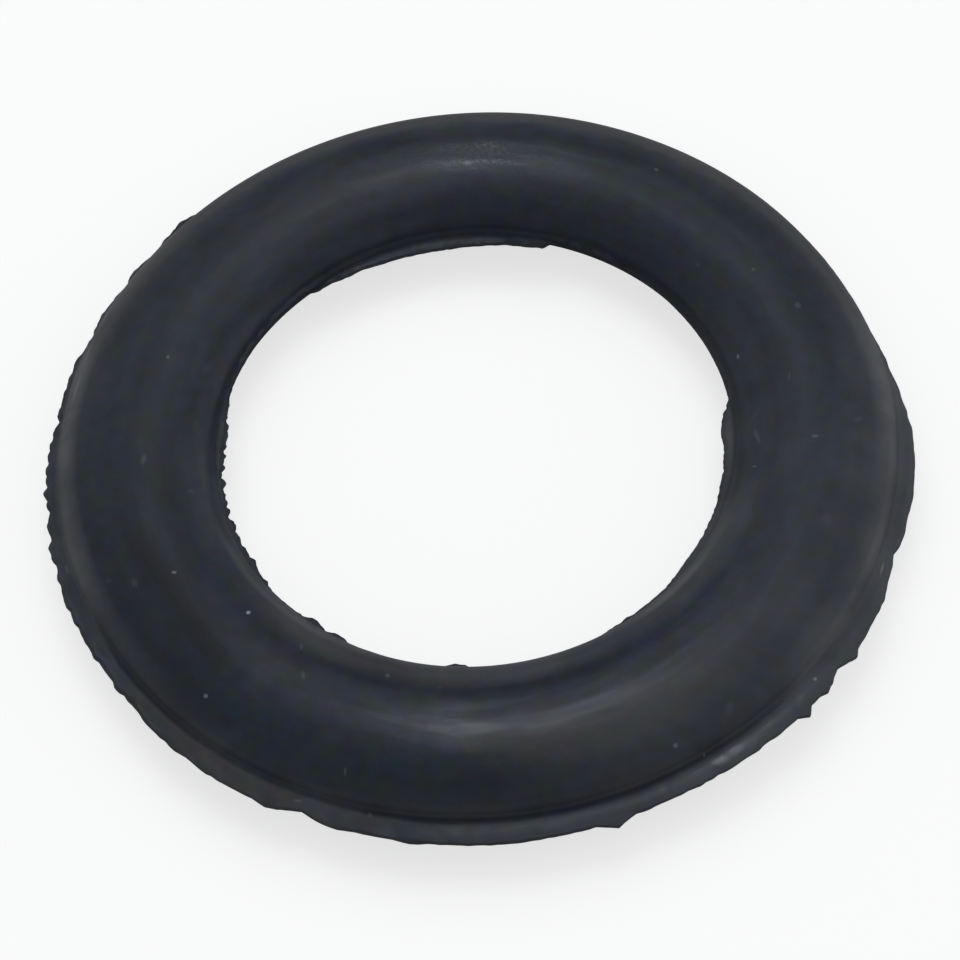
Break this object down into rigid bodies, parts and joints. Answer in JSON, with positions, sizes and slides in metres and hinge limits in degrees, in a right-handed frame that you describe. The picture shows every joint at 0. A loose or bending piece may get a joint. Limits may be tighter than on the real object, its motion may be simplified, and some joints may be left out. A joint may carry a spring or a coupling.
{
  "type": "bobbin winder rubber ring",
  "caption": "Flattened round-section rubber drive ring, with thin torn moulding flash standing out round its rim and inside its hole.",
  "frame": {"origin": "the ring's centre at half its height, on the parting line of its mould", "axes": "+Z along the ring's own axis, up when it lies flat; the flash is widest towards -Y"},
  "size_m": [0.033, 0.0328, 0.0032],
  "materials": {
    "rubber": "smooth moulded black rubber, semi-matte, with a few specks of pale dust"
  },
  "bodies": {
    "root": {"rubber_ring": "rubber"}
  },
  "joints": []
}
